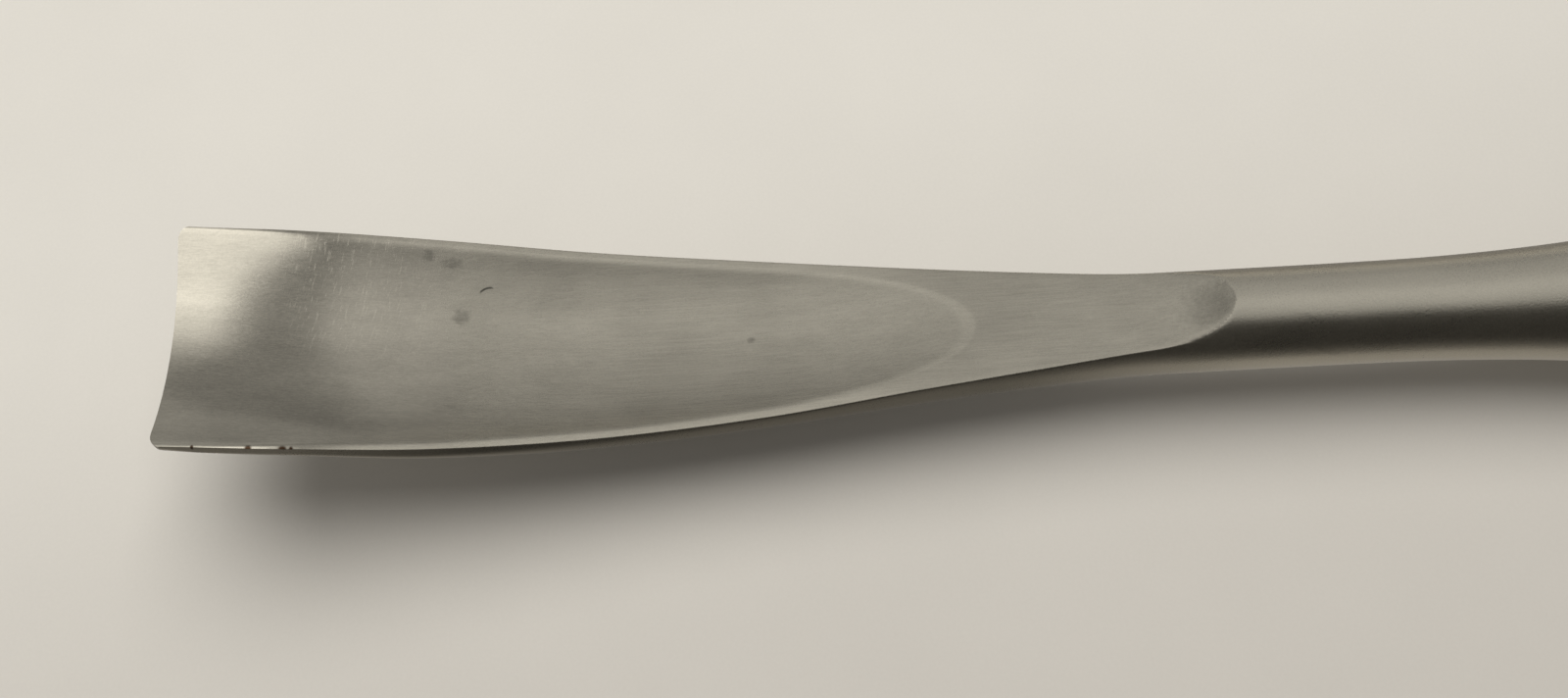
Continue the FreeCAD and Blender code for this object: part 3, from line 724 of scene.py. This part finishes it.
# %% Card under the tool
def flat_card(name, corners):
    """A flat card with four corners."""
    mesh = bpy.data.meshes.new(name)
    mesh.from_pydata(corners, [], [(0, 1, 2, 3)])
    piece = bpy.data.objects.new(name, mesh)
    bpy.context.scene.collection.objects.link(piece)
    return piece


FAR = 3.0                                            # metres to each side
BELOW = -0.05 * MM                                   # so that it never shares a plane with the grip
TOWARDS_LAMP = (-0.18, 1.0, 0)
NEAR_PAINTED_SHADE, LAMP_SIDE_PAINTED_LIGHT = (0.545, 0.525, 0.49, 1), (0.66, 0.645, 0.605, 1)
floor = flat_card("floor", [(-FAR, -FAR, BELOW), (FAR, -FAR, BELOW), (FAR, FAR, BELOW), (-FAR, FAR, BELOW)])
paper, tree, shader = new_finish("floor_card", roughness=0.9)
distance = add(tree, "VectorMath", {0: millimetres(tree), 1: TOWARDS_LAMP}, operation="DOT_PRODUCT")
clouds, tooth = noise(tree, (0.06, 0.06, 0.06)), noise(tree, (4, 4, 4))
tone = total(tree, 1.0, swing(tree, clouds, 0.012), swing(tree, tooth, 0.012))
# Painted light: the card's colour runs from a darker tone at the near right to a lighter one towards the
# lamp.
colour = blend(tree, between(tree, distance.outputs["Value"], -48.0, 28.0, 0, 1), NEAR_PAINTED_SHADE, LAMP_SIDE_PAINTED_LIGHT)
colour = add(tree, "VectorMath", {0: colour, "Scale": tone}, operation="SCALE").outputs[0]
shade(tree, shader, base_color=colour)
clear = add(tree, "BsdfTransparent").outputs[0]
underneath = add(tree, "NewGeometry").outputs["Backfacing"]
sides = add(tree, "MixShader", {0: underneath, 1: shader.outputs[0], 2: clear})
tree.links.new(sides.outputs[0], tree.nodes["Material Output"].inputs[0])
floor.data.materials.append(paper)
print("floor reaches", FAR, "m to each side")

# %% [markdown]
# ## What the steel mirrors: a card overhead
# Steel shows its surroundings more than itself.  A real room would do, but its every lamp would have to be
# guessed; a single glowing card above the tool can give the same bands.  It is bright beyond the tip, has a
# darker strip next to that, and falls away towards the viewer.  Only reflections see it.

# %% Overhead card
CARD_HEIGHT = 100.0                                  # above the centre line
TABLE_FROM, TABLE_TO = -400.0, 700.0


def only_in_reflections(card):
    """Hides a card from everything except reflections."""
    card.visible_camera = card.visible_diffuse = card.visible_shadow = card.visible_transmission = False


def glow_table(tree, source, stops):
    """Brightness along a coordinate: the stops' values, in millimetres, joined by eased curves."""
    ratio = add(tree, "MapRange", {"Value": source, "From Min": TABLE_FROM, "From Max": TABLE_TO}).outputs[0]
    ramp = add(tree, "ValToRGB", {0: ratio})
    elements = ramp.color_ramp.elements
    ramp.color_ramp.interpolation = "EASE"
    elements.remove(elements[-1])
    for k, (at, value) in enumerate(stops):
        element = elements[0] if k == 0 else elements.new(0.5)
        element.position = (at - TABLE_FROM) / (TABLE_TO - TABLE_FROM)
        element.color = (value, value, value, 1)
    return ramp.outputs[0]


z = AXIS_Z + CARD_HEIGHT * MM
card = flat_card("overhead_card", [(-FAR, -FAR, z), (-FAR, FAR, z), (FAR, FAR, z), (FAR, -FAR, z)])
only_in_reflections(card)
glow, tree, shader = new_finish("overhead_glow", base_color=(0, 0, 0, 1), roughness=1.0,
                                specular_ior_level=0.0, emission_strength=1.0)
split = add(tree, "SeparateXYZ", {0: millimetres(tree)})
from_tip, away = split.outputs[0], split.outputs[1]
over_blade = glow_table(tree, away, [
    (-300, .03), (-100, .045), (-66, .2), (-43, .44), (-16, .55), (6, .60), (28, .60), (53, .46), (85, .45),
    (136, .42), (245, .34), (390, .28)])
beyond_tip = glow_table(tree, away, [
    (-130, .2), (-60, .95), (-30, 1.27), (5, 1.25), (14, 1.3), (19, 1.75), (25, 1.28), (38, 1.08), (50, .62),
    (64, .42), (102, .35), (245, .31), (390, .28)])
far_side = between(tree, away, 40, 90, 0, 1)
strip_start = maths(tree, "ADD", from_tip, maths(tree, "MULTIPLY", far_side, 15.0))
strip = maths(tree, "MULTIPLY", between(tree, strip_start, 9, 15, 0, 1),
              between(tree, from_tip, 17, 29, 1, 0))
strip = maths(tree, "MULTIPLY", strip, maths(tree, "SUBTRACT", 0.5, maths(tree, "MULTIPLY", far_side, 0.18)))
glowing = blend(tree, between(tree, from_tip, 10.5, 14.5, 0, 1), beyond_tip, over_blade)
outside_strip = maths(tree, "SUBTRACT", 1.0, strip)
glowing = add(tree, "VectorMath", {0: glowing, "Scale": outside_strip}, operation="SCALE").outputs[0]
shade(tree, shader, emission_color=glowing)
card.data.materials.append(glow)
print("card hangs", CARD_HEIGHT, "mm above the centre line")

# %% [markdown]
# ## A dark card at the near side
# The lower half of the neck mirrors whatever is dark on the viewer's side, which may be clothes or the
# table's edge.  Turning the lamp down would darken everything, so a narrow dark card that only reflections
# see stands there, with a faint glow low down and near the tip.

# %% Near card
NEAR_Y, NEAR_FROM, NEAR_TO, NEAR_TOP = -13.0, -15.0, 122.0, 30.0
GAP = 0.2 * MM                                       # above the table
from_x, to_x, near_y = EDGE_X + NEAR_FROM * MM, EDGE_X + NEAR_TO * MM, NEAR_Y * MM
near = flat_card("near_card", [(from_x, near_y, GAP), (to_x, near_y, GAP), (to_x, near_y, NEAR_TOP * MM),
                               (from_x, near_y, NEAR_TOP * MM)])
only_in_reflections(near)
WARM = (1, 0.95, 0.88, 1)
dark, tree, shader = new_finish("near_dark", base_color=(0.02, 0.02, 0.02, 1), roughness=1.0,
                                specular_ior_level=0.0, emission_color=WARM)
split = add(tree, "SeparateXYZ", {0: millimetres(tree)})
low_glow = between(tree, split.outputs[2], 2 - AXIS_Z / MM, 0, 0.12, 0.025)
tip_glow = between(tree, split.outputs[0], 2, 26, 0.10, 0)
shade(tree, shader, emission_strength=total(tree, low_glow, tip_glow))
near.data.materials.append(dark)
print("near card is", NEAR_TO - NEAR_FROM, "mm long")

# %% [markdown]
# ## The table as the steel sees it
# The neck's lower edge mirrors the table in the tool's own shadow.  The shadow that the lamp makes is right
# for the eye but too pale at the steel's grazing angles, so a thin sheet just above the table, seen only
# in reflections, gives the tones: dim on the near side under the blade, brighter towards the neck and the
# tip.

# %% Sheet that stands for the table in reflections
SHEET_FAR, SHEET_HEIGHT = 90 * MM, 0.3 * MM
sheet = flat_card("table_reflection", [
    (from_x, near_y, SHEET_HEIGHT), (cad_high.x, near_y, SHEET_HEIGHT), (cad_high.x, SHEET_FAR, SHEET_HEIGHT),
    (from_x, SHEET_FAR, SHEET_HEIGHT)])
only_in_reflections(sheet)
dim, tree, shader = new_finish("table_dim", base_color=(0, 0, 0, 1), roughness=1.0, specular_ior_level=0.0,
                               emission_color=WARM)
split = add(tree, "SeparateXYZ", {0: millimetres(tree)})
near_glow = between(tree, split.outputs[0], 62, 88, 0.13, 0.36)
shade(tree, shader, emission_strength=total(tree, between(tree, split.outputs[1], -2, 5, near_glow, 0.25),
                                            between(tree, split.outputs[0], 4, 38, 0.14, 0)))
sheet.data.materials.append(dim)
print("sheet reaches from", round(near_y, 3), "to", SHEET_FAR, "m")

# %% [markdown]
# ## Surroundings
# The surroundings fill the tool's shadow a little.  They look pale to the camera and in reflections, and
# dimmer for the light they give, which keeps the shadow's depth.

# %% Surroundings
FILL = 0.22                                          # light given, beside 1 for how bright they look
world = bpy.data.worlds.new("room")
bpy.context.scene.world = world
world.use_nodes = True
tree = world.node_tree
fill = tree.nodes["Background"]
fill.inputs["Color"].default_value = (1.0, 0.97, 0.93, 1)
fill.inputs["Strength"].default_value = FILL
ray = add(tree, "LightPath")
seen = total(tree, *[ray.outputs[f"Is {kind} Ray"] for kind in ("Camera", "Glossy", "Transmission")])
seen = maths(tree, "MINIMUM", seen, 1.0)
pale = add(tree, "Background", {"Color": (0.62, 0.60, 0.55, 1), "Strength": 1.0})
room = add(tree, "MixShader", {0: seen, 1: fill.outputs[0], 2: pale.outputs[0]})
tree.links.new(room.outputs[0], tree.nodes["World Output"].inputs[0])
print("surroundings give", FILL, "of what they show")

# %% [markdown]
# ## The lamp
# One large soft lamp stands beyond the tip and the far side, so the shadow falls softly towards the viewer.
# It is a disk, so the shadow's edge is equally soft in every direction.  It stays out of reflections,
# because the overhead card already gives the steel what it mirrors.

# %% Lamp
LAMP_AIM = Vector((-0.06, 0, 0))
lamp_data = bpy.data.lights.new("lamp", "AREA")
lamp_data.shape = "DISK"
lamp_data.size = 0.72
lamp_data.energy = 4.7
lamp_data.color = (1.0, 0.97, 0.92)
lamp = bpy.data.objects.new("lamp", lamp_data)
bpy.context.scene.collection.objects.link(lamp)
lamp.location = (-0.13, 0.175, 0.61)
lamp.rotation_mode = "QUATERNION"
lamp.rotation_quaternion = (lamp.location - LAMP_AIM).to_track_quat("Z", "Y")
lamp.visible_glossy = False
lamp.visible_camera = False
print("lamp stands", round((lamp.location - LAMP_AIM).length, 2), "m away")

# %% [markdown]
# ## Camera
# The camera looks down steeply from the near side at the blade, tilted so that the neck rises to the right.
# Its place is worked out from a target on the centre line, a direction and a distance, because these are
# what one changes when lining up a view.

# %% Camera
SENSOR, LENS = 36.0, 39.375
CLIP_START = 0.005
LOOK_DOWN = math.radians(61.9)
TURN = math.radians(1.1)
ROLL = math.radians(-4.15)
DISTANCE = 134.94 * MM
TARGET = Vector((EDGE_X + 46.53 * MM, -0.38 * MM, AXIS_Z))
forward = Vector((-math.sin(TURN) * math.cos(LOOK_DOWN), math.cos(TURN) * math.cos(LOOK_DOWN),
                  -math.sin(LOOK_DOWN)))
level = Vector((math.cos(TURN), math.sin(TURN), 0))
upward = level.cross(forward)
right = level * math.cos(ROLL) + upward * math.sin(ROLL)
up = upward * math.cos(ROLL) - level * math.sin(ROLL)
camera_data = bpy.data.cameras.new("camera")
camera_data.sensor_width = SENSOR
camera_data.lens = LENS
camera_data.clip_start = CLIP_START
camera = bpy.data.objects.new("camera", camera_data)
bpy.context.scene.collection.objects.link(camera)
camera.matrix_world = Matrix((right, up, -forward)).transposed().to_4x4()
camera.location = TARGET - forward * DISTANCE
bpy.context.scene.camera = camera
bpy.context.scene.view_settings.view_transform = "Standard"
print("camera at", [round(v, 4) for v in camera.location])

# %% [markdown]
# ## Sizes and the finish
# The dressed model must stay the size of the engineering model.

# %% Update the scene
bpy.context.view_layer.update()
